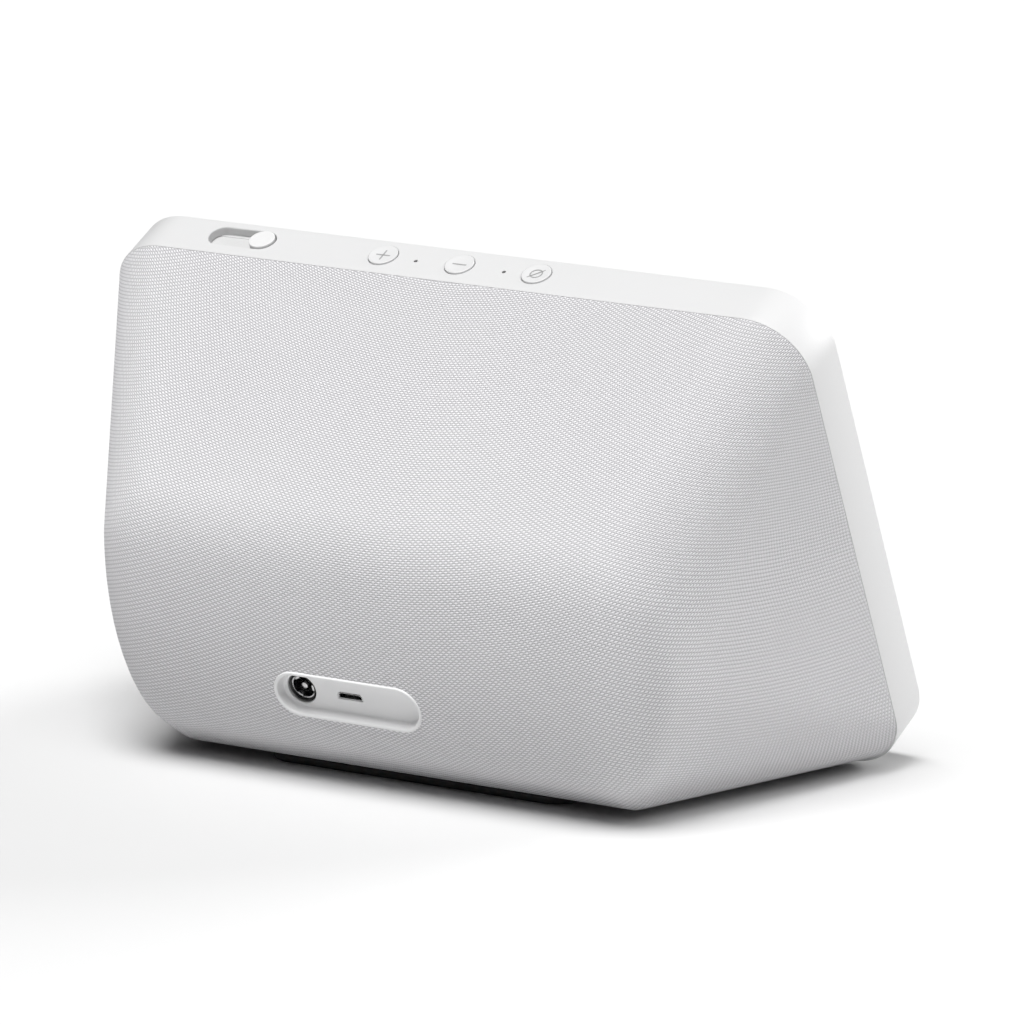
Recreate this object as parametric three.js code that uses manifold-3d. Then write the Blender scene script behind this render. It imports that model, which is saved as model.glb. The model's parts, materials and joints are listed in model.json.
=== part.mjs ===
// A table-top smart speaker with a tilted front display and a fabric-covered back.
// Millimetres, +Z up. The display faces -Y, the fabric back and its ports face +Y,
// the camera slider is at the +X end of the top. The origin is under the middle of
// the object, at the level of the table.

import * as THREE from 'three';
import { ConvexGeometry } from 'three/addons/geometries/ConvexGeometry.js';
import { mergeVertices } from 'three/addons/utils/BufferGeometryUtils.js';
import Module from 'manifold-3d';

const wasm = await Module();
wasm.setup();

// ---------------------------------------------------------------- driving dimensions

const WIDTH = 200.4;            // across the front frame
const FRONT_HEIGHT = 137;       // of the front, along its slope
const FRAME_DEPTH = 13.2;       // of the white frame, square to the front
const CORNER_R = 16;            // outside corners of the frame
const TILT = 25;                // the front leans back, degrees from upright
const CLEARANCE = 6.2;          // front lower edge above the table
const DEPTH = 111.25;           // front lower edge to the back of the belly
const GAP = 0.3;                // between pieces that touch

const WALL = 2.2;               // frame wall
const RIM = 1.6;                // frame seen around the glass
const FRAME_EDGE = 0.8;         // rounding of the frame's outer edges
const LEDGE_Y = 2.35;           // front of the ledge that carries the display
const LEDGE_THICK = 1.25;
const LEDGE_WIDTH = 3.7;        // ledge's inner edge, from the outside of the frame

const FABRIC = 1.4;             // thickness of the sleeve
const SHELL = 2.5;              // thickness of the rear shell
const SLEEVE_INSET = 0.3;       // fabric lies this far inside the frame's outline
const SLEEVE_LIFT = 0.8;        // the same at the bottom edge

// Two swollen corners make the belly of the back, and two small ones its lower rim.
const BELLY = { x: 63.5, y: 89.55, z: 57.2, rx: 20.7, ry: 21.7, up: 25, down: 51.1 };
const LOWER_RIM = { x: 63.5, y: 85, z: 9.15, rx: 6.8, ry: 6.8, up: 6.8, down: 6.8 };

const TOP_LINE = 6.3;           // depth of the row of controls behind the front
const BUTTON_X = { plus: 21.7, minus: -0.5, mute: -22.6 };
const BUTTON_D = 7.4;
const BUTTON_HOLE_D = 8;
const BUTTON_PROUD = 0.3;       // cap stands this far above the frame's top
const MIC_X = [11.9, -13.6];
const MIC_LINE = 6.9;
const MIC_D = 1;

const SLOT_FROM = 53.7;         // camera slider's slot along X
const SLOT_TO = 73.1;
const SLOT_WIDTH = 7.2;
const KNOB_D = 6.8;
const KNOB_PROUD = 0.6;
const CAMERA = { x: 78.3, z: 123, half: 4, lens: 6 };

const PORT = { x: 5.95, y: 106.4, z: 24.7, tilt: 20, width: 42.6, height: 12.8 };
const RECESS = { sunk: 3, rim: 0.9, skirt: 1.2, floor: 1.6 };
const JACK_X = 14.9;            // from the middle of the port recess
const JACK_D = 8.2;
const USB = { x: 0.8, z: -0.4, width: 7.2, height: 2.3, wall: 0.3, back: -14.2 };

const FOOT = { width: 90, front: 14, back: 85.7, thick: 2, corner: 8 };
const BASE = { width: 89.4, front: 14.3, back: 85.4, thick: 2.2, corner: 7.7 };

const SPEAKER_TILT = 35.9;      // baffle faces back and up, degrees above level
const BAFFLE = { y: 84.3, z: 81.3, half: 74, tall: 27, thick: 2.2 };
const DRIVER_X = 47;
const DRIVER_D = 50;
const RADIATOR = { width: 32, height: 46 };

// Tabs inside the shell take the screws that hold it to the frame: X and height of each.
const TABS = [[-91.5, 104], [91.5, 104], [-91.5, 34], [91.5, 34], [-46, 126], [36, 126]];
const TAB = { d: 10, thick: 2.6, hole: 2.6 };
const BOSS = { d: 7, from: 5.2, pilot: 1.9, rib: 3 };

// The display and what lies behind it, as depths behind the front and heights up its slope.
const GLASS = { from: 0.15, thick: 1 };
const ADHESIVE = { from: 1.45, to: 2.05, inside: 5.5 };
const CHASSIS = { width: 174, height: 108, z: 61.5, from: 5.1, to: 9.5, sheet: 1.2, corner: 3 };
const WINDOW = { width: 36, height: 14, corner: 4, places: [[-62, 26], [0, 26], [62, 26], [-62, 100]] };

// Plain inner blocks: from and to along X, in depth and in height.
const BLOCK = {
  panel: [-91, 91, 2.4, 4.7, 6, 117],
  cable: [-24, 12, 6.6, 6.9, 30, 56],
  sensor: [-3, 3, 1.6, 3.2, 121, 125],
  spreader: [-58, 48, 7.2, 8.4, 58, 92],
  mainBoard: [-64, 54, 9.8, 11.2, 56, 96],
  shield: [-40, 10, 11.5, 14, 60, 90],
  antennaLeft: [83, 93, 9.9, 10.7, 60, 92],
  antennaRight: [-93, -83, 9.9, 10.7, 60, 92],
  keyBoard: [-33, 32, 4, 10.6, 126, 127],
  keyBracket: [-30, 29, 8.6, 10.6, 118, 125.7],
};
const BOARD_TOP = BLOCK.keyBoard[5];
const SWITCH = { top: 129.5, half: 2.3, plunger: 2.4, well: 3, sunk: 1.4 };
const CARRIER = { half: 16.6, front: 3.9, back: 9.4, thick: 1.2, below: 0.3 };
const BLADE = { left: 60, right: 71, front: 2.2, thick: 0.6, low: 118.5, arm: 127 };

// ---------------------------------------------------------------- materials

const plastic = (color, roughness) => new THREE.MeshStandardMaterial({ color, roughness, metalness: 0 });
const metal = (color, roughness) => new THREE.MeshStandardMaterial({ color, roughness, metalness: 1 });

// ---------------------------------------------------------------- shapes

const rad = THREE.MathUtils.degToRad;

// A rounded rectangle centred on (x, y); the radius may be half the height.
function roundedRect(width, height, radius, x = 0, y = 0) {
  const r = Math.min(radius, width / 2, height / 2);
  const [l, b] = [x - width / 2, y - height / 2];
  const [R, t] = [x + width / 2, y + height / 2];
  const shape = new THREE.Shape();
  shape.absarc(R - r, b + r, r, -Math.PI / 2, 0);
  shape.absarc(R - r, t - r, r, 0, Math.PI / 2);
  shape.absarc(l + r, t - r, r, Math.PI / 2, Math.PI);
  shape.absarc(l + r, b + r, r, Math.PI, Math.PI * 1.5);
  shape.closePath();
  return shape;
}

// Extrudes a shape drawn in X and Y from z0 up to z1.
function upright(shape, z0, z1, segments = 6) {
  const settings = { depth: z1 - z0, bevelEnabled: false, curveSegments: segments };
  return new THREE.ExtrudeGeometry(shape, settings).translate(0, 0, z0);
}

// Extrudes a shape drawn in X and Z from depth y0 back to y1.
function slab(shape, y0, y1, segments = 6) {
  return upright(shape, 0, y1 - y0, segments).rotateX(Math.PI / 2).scale(1, -1, 1).translate(0, y0, 0);
}

// The same with both outer edges rounded.
function softSlab(shape, y0, y1, edge, segments = 6) {
  const geometry = new THREE.ExtrudeGeometry(shape, {
    depth: y1 - y0 - 2 * edge, bevelEnabled: true, bevelThickness: edge, bevelSize: edge,
    bevelOffset: -edge, bevelSegments: 2, curveSegments: segments,
  });
  return geometry.rotateX(Math.PI / 2).scale(1, -1, 1).translate(0, y0 + edge, 0);
}

function box(x0, x1, y0, y1, z0, z1) {
  return new THREE.BoxGeometry(x1 - x0, y1 - y0, z1 - z0)
    .translate((x0 + x1) / 2, (y0 + y1) / 2, (z0 + z1) / 2);
}

// A round bar along Z or along Y.
function barZ(d, x, y, z0, z1, sides = 32) {
  return new THREE.CylinderGeometry(d / 2, d / 2, z1 - z0, sides)
    .rotateX(Math.PI / 2).translate(x, y, (z0 + z1) / 2);
}

function barY(d, x, z, y0, y1, sides = 32) {
  return new THREE.CylinderGeometry(d / 2, d / 2, y1 - y0, sides).translate(x, (y0 + y1) / 2, z);
}

// A profile of [radius, y] points, closed on itself or on the axis, turned about Y.
function turned(points, x, z, sides = 24) {
  const profile = points.map(([r, y]) => new THREE.Vector2(r, y));
  return new THREE.LatheGeometry(profile, sides).translate(x, 0, z);
}

// ---------------------------------------------------------------- joining and cutting

function solid(geometry) {
  const bare = geometry.clone();
  for (const name of Object.keys(bare.attributes)) {
    if (name !== 'position') bare.deleteAttribute(name);
  }
  const merged = mergeVertices(bare, 1e-4);
  const index = merged.index.array;
  const position = merged.attributes.position;
  const corner = (i) => new THREE.Vector3().fromBufferAttribute(position, i);
  let volume = 0;
  const kept = [];
  for (let i = 0; i < index.length; i += 3) {
    const [a, b, c] = [index[i], index[i + 1], index[i + 2]];
    if (a === b || b === c || c === a) continue;
    kept.push(a, b, c);
    volume += corner(a).dot(corner(b).cross(corner(c)));
  }
  if (volume < 0) {
    for (let i = 0; i < kept.length; i += 3) {
      [kept[i + 1], kept[i + 2]] = [kept[i + 2], kept[i + 1]];
    }
  }
  return new wasm.Manifold(new wasm.Mesh({
    numProp: 3, vertProperties: new Float32Array(position.array), triVerts: new Uint32Array(kept),
  }));
}

function geometryOf(manifold) {
  const { vertProperties, triVerts } = manifold.getMesh();
  const geometry = new THREE.BufferGeometry();
  geometry.setAttribute('position', new THREE.BufferAttribute(new Float32Array(vertProperties), 3));
  geometry.setIndex(new THREE.BufferAttribute(new Uint32Array(triVerts), 1));
  return geometry;
}

const cut = (from, ...tools) => tools.reduce((a, tool) => a.subtract(solid(tool)), from);
const join = (first, ...more) => more.reduce((a, piece) => a.add(solid(piece)), solid(first));

// ---------------------------------------------------------------- places

// The frame's rounded lower edge starts this far behind the sharp corner it replaces.
const FRONT_MOST = FRAME_EDGE * (Math.cos(rad(TILT)) + Math.sin(rad(TILT)) - 1);

const object = new THREE.Group();
object.position.y = -(DEPTH + FRONT_MOST) / 2;

// head: its X-Z plane is the front, Y is the depth behind it, Z the height up its slope.
const head = new THREE.Group();
head.position.z = CLEARANCE;
head.rotation.x = -rad(TILT);

// ports: Y points out of the lower back, square to the fabric there.
const ports = new THREE.Group();
ports.position.set(PORT.x, PORT.y, PORT.z);
ports.rotation.x = -rad(PORT.tilt);

// speaker: Y points out of the baffle.
const speaker = new THREE.Group();
speaker.position.set(0, BAFFLE.y, BAFFLE.z);
speaker.rotation.x = rad(SPEAKER_TILT);

object.add(head, ports, speaker);
for (const group of [head, ports, speaker]) group.updateMatrix();

function put(group, name, shape, material) {
  const geometry = shape.isBufferGeometry ? geometryOf(solid(shape)) : geometryOf(shape);
  geometry.computeVertexNormals();
  const mesh = new THREE.Mesh(geometry, material);
  mesh.name = name;
  group.add(mesh);
}

// A geometry of one group, seen from the object's own axes.
const placed = (group, geometry) => geometry.clone().applyMatrix4(group.matrix);

// ---------------------------------------------------------------- fabric back

// Points of a swollen corner, shrunk by inset on every side.
function swollen({ x, y, z, rx, ry, up, down }, inset) {
  const points = [];
  for (let rise = -90; rise <= 90; rise += 15) {
    const tall = (rise > 0 ? up : down) - inset;
    const [c, s] = [Math.cos(rad(rise)), Math.sin(rad(rise))];
    for (let turn = -30; turn <= 105; turn += 15) {
      const px = x + (rx - inset) * c * Math.cos(rad(turn));
      const py = y + (ry - inset) * c * Math.sin(rad(turn));
      points.push(new THREE.Vector3(px, py, z + tall * s), new THREE.Vector3(-px, py, z + tall * s));
    }
  }
  return points;
}

const BACK_OF_FRAME = FRAME_DEPTH + GAP;

function backOutline(inset) {
  const side = SLEEVE_INSET + inset;
  const bottom = SLEEVE_LIFT + inset;
  const height = FRONT_HEIGHT - side - bottom;
  return roundedRect(WIDTH - 2 * side, height, CORNER_R - side, 0, bottom + height / 2);
}

// The back's solid form: the outline behind the frame stretched over the swollen corners.
function backForm(inset) {
  const toObject = (p) => new THREE.Vector3(p.x, BACK_OF_FRAME, p.y).applyMatrix4(head.matrix);
  const outline = backOutline(inset).getPoints(5).map(toObject);
  return new ConvexGeometry([...outline, ...swollen(BELLY, inset), ...swollen(LOWER_RIM, inset)]);
}

// A skin between two insets of that form, open at the front.
function backSkin(outside, inside) {
  const mouth = slab(backOutline(inside), BACK_OF_FRAME - 3, BACK_OF_FRAME + 0.02, 5);
  return cut(solid(backForm(outside)), backForm(inside), placed(head, mouth));
}

function stadium(width, height, y0, y1, x = 0, z = 0) {
  return slab(roundedRect(width, height, height / 2, x, z), y0, y1, 5);
}

// A plate of the foot or the base; grow widens it on every side.
function plate({ width, front, back, corner }, z0, z1, grow = 0) {
  const depth = back - front + 2 * grow;
  return upright(roundedRect(width + 2 * grow, depth, corner + grow, 0, (back + front) / 2), z0, z1);
}

const portHole = placed(ports, stadium(PORT.width + 2 * GAP, PORT.height + 2 * GAP, -16, 6));
const baseHole = plate(FOOT, -2, 10, GAP);

// Five slots in the shell in front of each driver, under the fabric.
function soundSlots() {
  const [pitch, half, tall] = [8, 2, 17];
  const slots = [];
  for (const middle of [-DRIVER_X, DRIVER_X]) {
    for (let i = -2; i <= 2; i += 1) {
      const x = middle + i * pitch;
      slots.push(placed(speaker, box(x - half, x + half, 4, 30, -tall, tall)));
    }
  }
  return slots;
}

function rearShell() {
  const outside = FABRIC + GAP;
  const form = solid(backForm(outside));
  let shell = backSkin(outside, outside + SHELL);
  for (const [x, z] of TABS) {
    const tab = solid(placed(head, barY(TAB.d, x, z, BACK_OF_FRAME, BACK_OF_FRAME + TAB.thick, 20)));
    shell = shell.add(tab.intersect(form));
  }
  const holes = TABS.map(([x, z]) => placed(head, barY(TAB.hole, x, z, 8, 20, 12)));
  return cut(shell, ...holes, portHole, baseHole, ...soundSlots());
}

const charcoal = plastic(0x2a2b2e, 0.7);
const white = plastic(0xeeeeef, 0.45);
const boardGreen = plastic(0x1d4a2c, 0.55);

put(object, 'fabric_sleeve', cut(backSkin(0, FABRIC), portHole, baseHole), plastic(0xe0dfe2, 0.95));
put(object, 'rear_shell', rearShell(), plastic(0xd4d3d6, 0.7));

// ---------------------------------------------------------------- base and foot

const BASE_Z = FOOT.thick + GAP;

put(object, 'rubber_foot', plate(FOOT, 0, FOOT.thick), plastic(0x1c1c1e, 0.85));
put(object, 'base_plate', plate(BASE, BASE_Z, BASE_Z + BASE.thick), charcoal);

// ---------------------------------------------------------------- front frame

// A rounded rectangle that lies this far inside the frame's outline all round.
function ringShape(inset) {
  return roundedRect(WIDTH - 2 * inset, FRONT_HEIGHT - 2 * inset, CORNER_R - inset, 0, FRONT_HEIGHT / 2);
}

// A boss for a case screw, with a rib to the top wall or to the nearest side wall.
function screwBoss(x, z) {
  const [from, to] = [BOSS.from, FRAME_DEPTH];
  const half = BOSS.rib / 2;
  const wallX = Math.sign(x) * (WIDTH - WALL) / 2;
  const rib = z > FRONT_HEIGHT - CORNER_R
    ? box(x - half, x + half, from, to, z, FRONT_HEIGHT - WALL / 2)
    : box(Math.min(x, wallX), Math.max(x, wallX), from, to, z - half, z + half);
  return cut(join(barY(BOSS.d, x, z, from, to, 20), rib), barY(BOSS.pilot, x, z, from + 0.6, to + 1, 10));
}

// Everything that is cut down through the frame's top wall.
function topHoles() {
  const [z0, z1] = [FRONT_HEIGHT - 8, FRONT_HEIGHT + 2];
  const middle = (SLOT_FROM + SLOT_TO) / 2;
  const slot = roundedRect(SLOT_TO - SLOT_FROM, SLOT_WIDTH, SLOT_WIDTH / 2, middle, TOP_LINE);
  return [
    upright(slot, z0, z1, 8),
    ...Object.values(BUTTON_X).map((x) => barZ(BUTTON_HOLE_D, x, TOP_LINE, z0, z1, 28)),
    ...MIC_X.map((x) => barZ(MIC_D, x, MIC_LINE, z0, z1, 12)),
  ];
}

function frontFrame() {
  const frame = cut(
    solid(softSlab(ringShape(0), 0, FRAME_DEPTH, FRAME_EDGE)),
    slab(ringShape(RIM), -2, LEDGE_Y),
    slab(ringShape(LEDGE_WIDTH), -1, FRAME_DEPTH),
    slab(ringShape(WALL), LEDGE_Y + LEDGE_THICK, FRAME_DEPTH + 2),
    ...topHoles(),
  );
  return TABS.reduce((body, [x, z]) => body.add(screwBoss(x, z)), frame);
}

put(head, 'front_frame', frontFrame(), white);

// ---------------------------------------------------------------- display

const glass = slab(ringShape(RIM + GAP), GLASS.from, GLASS.from + GLASS.thick);
put(head, 'front_glass', glass, plastic(0x08090a, 0.08));

const adhesive = cut(
  solid(slab(ringShape(RIM + 0.5), ADHESIVE.from, ADHESIVE.to)),
  slab(ringShape(ADHESIVE.inside), ADHESIVE.from - 1, ADHESIVE.to + 1),
);
put(head, 'display_adhesive', adhesive, plastic(0x101011, 0.9));

put(head, 'display_panel', box(...BLOCK.panel), plastic(0x15161a, 0.3));

// A pressed tray, open to the back, with windows for cables.
function chassisPlate() {
  const { width, height, z, from, to, sheet, corner } = CHASSIS;
  const outside = slab(roundedRect(width, height, corner, 0, z), from, to, 2);
  const inside = roundedRect(width - 2 * sheet, height - 2 * sheet, corner - sheet / 2, 0, z);
  const windows = WINDOW.places.map(([x, at]) => {
    const outline = roundedRect(WINDOW.width, WINDOW.height, WINDOW.corner, x, at);
    return slab(outline, from - 1, to + 2, 2);
  });
  return cut(solid(outside), slab(inside, from + sheet, to + 2, 2), ...windows);
}

put(head, 'chassis_plate', chassisPlate(), metal(0x9a9da1, 0.45));
put(head, 'display_cable', box(...BLOCK.cable), plastic(0xb8792e, 0.5));
put(head, 'light_sensor', box(...BLOCK.sensor), plastic(0x0d0e12, 0.2));

// ---------------------------------------------------------------- camera and its shutter

function cameraModule() {
  const { x, z, half, lens } = CAMERA;
  const body = box(x - half, x + half, 5.4, 10.4, z - half, z + half - GAP);
  const tube = barY(lens + 1, x, z, 4, 6, 28);
  return cut(join(body, tube), barY(lens - 1, x, z, 3, 4.9, 24));
}

put(head, 'camera_module', cameraModule(), charcoal);

const lensProfile = [[0, 4.5], [1.6, 4.3], [2.2, 3.9], [2.2, 4.6], [0, 4.6]];
put(head, 'camera_lens', turned(lensProfile, CAMERA.x, CAMERA.z, 24), plastic(0x0b0e14, 0.05));

const KNOB_X = SLOT_FROM + SLOT_WIDTH / 2 + 0.2;
const CARRIER_TOP = FRONT_HEIGHT - WALL - CARRIER.below;

// Knob in the slot, a carrier below it and an arm down to a blade in front of the lens.
function shutterSlider() {
  const { half, front, back, thick } = CARRIER;
  const { left, right, low, arm } = BLADE;
  const armBack = front + 1;
  const bridgeTop = arm + 2.4;
  return join(
    box(KNOB_X - half, KNOB_X + half, front, back, CARRIER_TOP - thick, CARRIER_TOP),
    barZ(KNOB_D, KNOB_X, TOP_LINE, CARRIER_TOP - thick / 2, FRONT_HEIGHT + KNOB_PROUD, 28),
    box(left, right, front, armBack, arm, CARRIER_TOP - thick / 2),
    box(left, right, BLADE.front, armBack, arm, bridgeTop),
    box(left, right, BLADE.front, BLADE.front + BLADE.thick, low, bridgeTop),
  );
}

put(head, 'shutter_slider', shutterSlider(), white);

// ---------------------------------------------------------------- top keys

// A round cap with two ears that stop it coming out and a stem down to its switch.
function buttonCap(x) {
  const ears = FRONT_HEIGHT - WALL - 0.4;
  const [reach, half] = [BUTTON_D / 2 + 1.25, 2.2];
  return join(
    barZ(BUTTON_D, x, TOP_LINE, ears - 0.6, FRONT_HEIGHT + BUTTON_PROUD, 28),
    box(x - reach, x + reach, TOP_LINE - half, TOP_LINE + half, ears - 1.2, ears),
    barZ(3, x, TOP_LINE, SWITCH.top + 1.3, ears - 0.6, 16),
  );
}

function switchHousing(x) {
  const { half, top, well, sunk } = SWITCH;
  const body = box(x - half, x + half, TOP_LINE - half, TOP_LINE + half, BOARD_TOP + GAP, top);
  return cut(solid(body), barZ(well, x, TOP_LINE, top - sunk, top + 1, 16));
}

for (const [name, x] of Object.entries(BUTTON_X)) {
  put(head, `button_${name}`, buttonCap(x), white);
  const plunger = barZ(SWITCH.plunger, x, TOP_LINE, SWITCH.top - 0.5, SWITCH.top + 1, 16);
  put(head, `plunger_${name}`, plunger, charcoal);
  put(head, `switch_${name}`, switchHousing(x), metal(0xb9bcc0, 0.35));
}

put(head, 'key_board', box(...BLOCK.keyBoard), boardGreen);
put(head, 'key_bracket', box(...BLOCK.keyBracket), charcoal);
MIC_X.forEach((x, i) => {
  const sleeve = barZ(4, x, MIC_LINE, BOARD_TOP + GAP, FRONT_HEIGHT - WALL - GAP, 20);
  const bore = barZ(MIC_D + 0.2, x, MIC_LINE, BOARD_TOP - 1, FRONT_HEIGHT, 12);
  put(head, `mic_seal_${i + 1}`, cut(solid(sleeve), bore), plastic(0x202022, 0.9));
});

// ---------------------------------------------------------------- main electronics

put(head, 'heat_spreader', box(...BLOCK.spreader), metal(0xb4b6b8, 0.4));
put(head, 'main_board', box(...BLOCK.mainBoard), boardGreen);
put(head, 'shield_can', box(...BLOCK.shield), metal(0xc3c6c9, 0.35));
put(head, 'antenna_left', box(...BLOCK.antennaLeft), plastic(0x23303f, 0.5));
put(head, 'antenna_right', box(...BLOCK.antennaRight), plastic(0x23303f, 0.5));

// ---------------------------------------------------------------- port recess and connectors

const FLOOR = { from: -RECESS.sunk - RECESS.floor, to: -RECESS.sunk };

function portBezel() {
  const { width, height } = PORT;
  const { rim, skirt, floor } = RECESS;
  return cut(
    solid(stadium(width, height, FLOOR.from - floor, 0.2)),
    stadium(width - 2 * rim, height - 2 * rim, FLOOR.to, 2),
    stadium(width - 2 * skirt, height - 2 * skirt, FLOOR.from - 3, FLOOR.from),
    barY(JACK_D, JACK_X, 0, FLOOR.from - 1, 0, 24),
    stadium(USB.width + 0.7, USB.height + 0.7, FLOOR.from - 1, 0, USB.x, USB.z),
  );
}

put(ports, 'port_bezel', portBezel(), plastic(0xdcdcdf, 0.25));

// A square body behind the recess, a neck under its floor and a snout through its hole.
function dcJack() {
  const body = box(JACK_X - 5, JACK_X + 4.4, USB.back, -6.5, -4.7, 4.7);
  const neck = barY(9, JACK_X, 0, -7, FLOOR.from - GAP, 24);
  const snout = barY(JACK_D - 2 * GAP, JACK_X, 0, FLOOR.from - 1, FLOOR.to - 0.4, 24);
  return cut(join(body, neck, snout), barY(6.2, JACK_X, 0, -13, 0, 24));
}

put(ports, 'dc_jack', dcJack(), plastic(0x141416, 0.4));
put(ports, 'dc_pin', barY(2, JACK_X, 0, -12.7, FLOOR.to - 1.2, 16), metal(0xd0d2d4, 0.25));

function usbSocket() {
  const { x, z, width, height, wall, back } = USB;
  const shell = stadium(width, height, back, FLOOR.to - 0.5, x, z);
  const mouth = stadium(width - 2 * wall, height - 2 * wall, back + 1, 0, x, z);
  const tongue = box(x - 1.8, x + 1.8, back + 0.6, FLOOR.to - 1.4, z - 0.1, z + 0.5);
  return cut(solid(shell), mouth).add(solid(tongue));
}

put(ports, 'usb_socket', usbSocket(), metal(0xc8cacc, 0.3));
put(ports, 'port_board', box(-11, 19.5, USB.back - 1.7, USB.back - GAP, -5, 5), boardGreen);

// ---------------------------------------------------------------- speaker system

// The box's outside and inside in Y and Z; the baffle closes its sloping back.
const BOX_OUTSIDE = [[46, 42], [100.2, 42], [100.2, 59.4], [68.5, 103.2], [64.5, 102.5]];
const BOX_INSIDE = [[49.2, 44.2], [98, 44.2], [98, 59], [68, 101], [66.5, 100.3]];

function prism(profile, half) {
  const shape = new THREE.Shape(profile.map(([y, z]) => new THREE.Vector2(y, z)));
  const geometry = new THREE.ExtrudeGeometry(shape, { depth: 2 * half, bevelEnabled: false });
  const toXYZ = new THREE.Matrix4().makeBasis(
    new THREE.Vector3(0, 1, 0), new THREE.Vector3(0, 0, 1), new THREE.Vector3(1, 0, 0));
  return geometry.applyMatrix4(toXYZ).translate(-half, 0, 0);
}

function speakerBox() {
  const { half, thick } = BAFFLE;
  const behind = placed(speaker, box(-half - 10, half + 10, -thick - GAP, 30, -60, 60));
  return cut(solid(prism(BOX_OUTSIDE, half)), prism(BOX_INSIDE, half - thick), behind);
}

put(object, 'speaker_box', speakerBox(), charcoal);

function speakerBaffle() {
  const { half, thick, tall } = BAFFLE;
  const holes = [-DRIVER_X, DRIVER_X].map((x) => barY(DRIVER_D - 5, x, 0, -5, 3, 36));
  const radiatorHole = slab(roundedRect(RADIATOR.width, RADIATOR.height, 10), -5, 3, 5);
  return cut(solid(box(-half, half, -thick, 0, -tall, tall)), ...holes, radiatorHole);
}

put(speaker, 'speaker_baffle', speakerBaffle(), charcoal);

// A driver's profiles, as radius and distance out of the baffle.
const DRIVER = {
  basket: [[25, 0.3], [25, 1.7], [23.4, 1.7], [23.4, 1.3], [21.6, 1.3], [21.6, -1.5], [14, -11],
    [9, -11], [9, -12], [14.6, -12], [22.1, -2], [22.1, 0.3], [25, 0.3]],
  magnet: [[0, -20], [13, -20], [13, -12.3], [8.2, -12.3], [8.2, -18], [5.7, -18], [5.7, -12], [0, -12]],
  surround: [[19.2, 1.7], [19.8, 3], [21.2, 3.5], [22.6, 3], [23.2, 1.6], [22.2, 1.6], [21.2, 2.7],
    [20.2, 1.7], [19.2, 1.7]],
  cone: [[0, -3.4], [4, -3.8], [7, -6], [18.7, 1.2], [18.7, 2], [7, -5.1], [4, -3], [0, -2.6]],
  coil: [[6.4, -15], [7.2, -15], [7.2, -5.4], [6.4, -4.9], [6.4, -15]],
};
const surroundRubber = plastic(0x161617, 0.8);

for (const [side, x] of [['left', DRIVER_X], ['right', -DRIVER_X]]) {
  const cone = join(turned(DRIVER.cone, x, 0), turned(DRIVER.coil, x, 0));
  put(speaker, `driver_basket_${side}`, turned(DRIVER.basket, x, 0), metal(0x3a3b3d, 0.5));
  put(speaker, `driver_magnet_${side}`, turned(DRIVER.magnet, x, 0), metal(0x5a5c60, 0.4));
  put(speaker, `driver_surround_${side}`, turned(DRIVER.surround, x, 0), surroundRubber);
  put(speaker, `driver_cone_${side}`, cone, plastic(0x2b2b2d, 0.6));
}

// The passive radiator between the drivers: a rubber frame and the plate that moves in it.
const radiatorShape = (grow, corner) => roundedRect(RADIATOR.width + grow, RADIATOR.height + grow, corner);
const radiatorRing = cut(
  solid(slab(radiatorShape(5.5, 12), 0.3, 1.6, 5)),
  slab(radiatorShape(-8, 7), -1, 3, 5),
);
put(speaker, 'radiator_surround', radiatorRing, surroundRubber);
put(speaker, 'radiator_plate', slab(radiatorShape(-9, 6.5), 0.1, 2.3, 5), metal(0x6c6e72, 0.45));

// ---------------------------------------------------------------- screws

const SEAT = BACK_OF_FRAME + TAB.thick + GAP;
const SCREW = [[0, 6], [0.8, 6], [0.8, SEAT], [2.1, SEAT], [2.1, SEAT + 0.9], [1.4, SEAT + 1.5],
  [0, SEAT + 1.5]];

TABS.forEach(([x, z], i) => {
  put(head, `case_screw_${i + 1}`, turned(SCREW, x, z, 14), metal(0x8d9094, 0.35));
});

export default object;
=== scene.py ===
import bisect
import json
import math

import bmesh
import bpy
from mathutils import Matrix, Vector


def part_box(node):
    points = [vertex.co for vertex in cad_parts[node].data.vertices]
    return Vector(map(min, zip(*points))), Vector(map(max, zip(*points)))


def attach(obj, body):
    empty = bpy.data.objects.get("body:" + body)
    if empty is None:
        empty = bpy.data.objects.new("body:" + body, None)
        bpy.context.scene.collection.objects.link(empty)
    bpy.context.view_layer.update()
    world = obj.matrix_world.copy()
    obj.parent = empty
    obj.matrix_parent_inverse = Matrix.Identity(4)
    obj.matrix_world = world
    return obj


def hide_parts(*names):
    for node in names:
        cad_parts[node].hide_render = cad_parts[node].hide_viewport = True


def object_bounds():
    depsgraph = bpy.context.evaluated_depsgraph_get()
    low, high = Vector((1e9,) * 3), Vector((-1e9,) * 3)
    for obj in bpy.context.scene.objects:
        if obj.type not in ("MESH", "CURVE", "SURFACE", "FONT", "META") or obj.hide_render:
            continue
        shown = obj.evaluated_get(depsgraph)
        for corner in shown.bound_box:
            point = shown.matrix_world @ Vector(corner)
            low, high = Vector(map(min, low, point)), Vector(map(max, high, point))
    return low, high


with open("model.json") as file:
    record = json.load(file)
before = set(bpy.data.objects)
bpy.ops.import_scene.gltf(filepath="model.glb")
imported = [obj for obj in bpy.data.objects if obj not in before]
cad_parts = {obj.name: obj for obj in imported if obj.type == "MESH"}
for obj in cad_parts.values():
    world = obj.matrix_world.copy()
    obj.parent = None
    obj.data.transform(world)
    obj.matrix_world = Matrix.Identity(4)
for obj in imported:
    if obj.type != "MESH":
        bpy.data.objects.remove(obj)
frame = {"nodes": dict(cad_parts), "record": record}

CAD_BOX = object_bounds()

# Lengths are in millimetres until a mesh is made. The object's own axes are the frame's:
# the display faces -Y, the fabric back +Y, and the camera slider is at the +X end.
MM = 0.001
CASE = "speaker_case"

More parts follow.
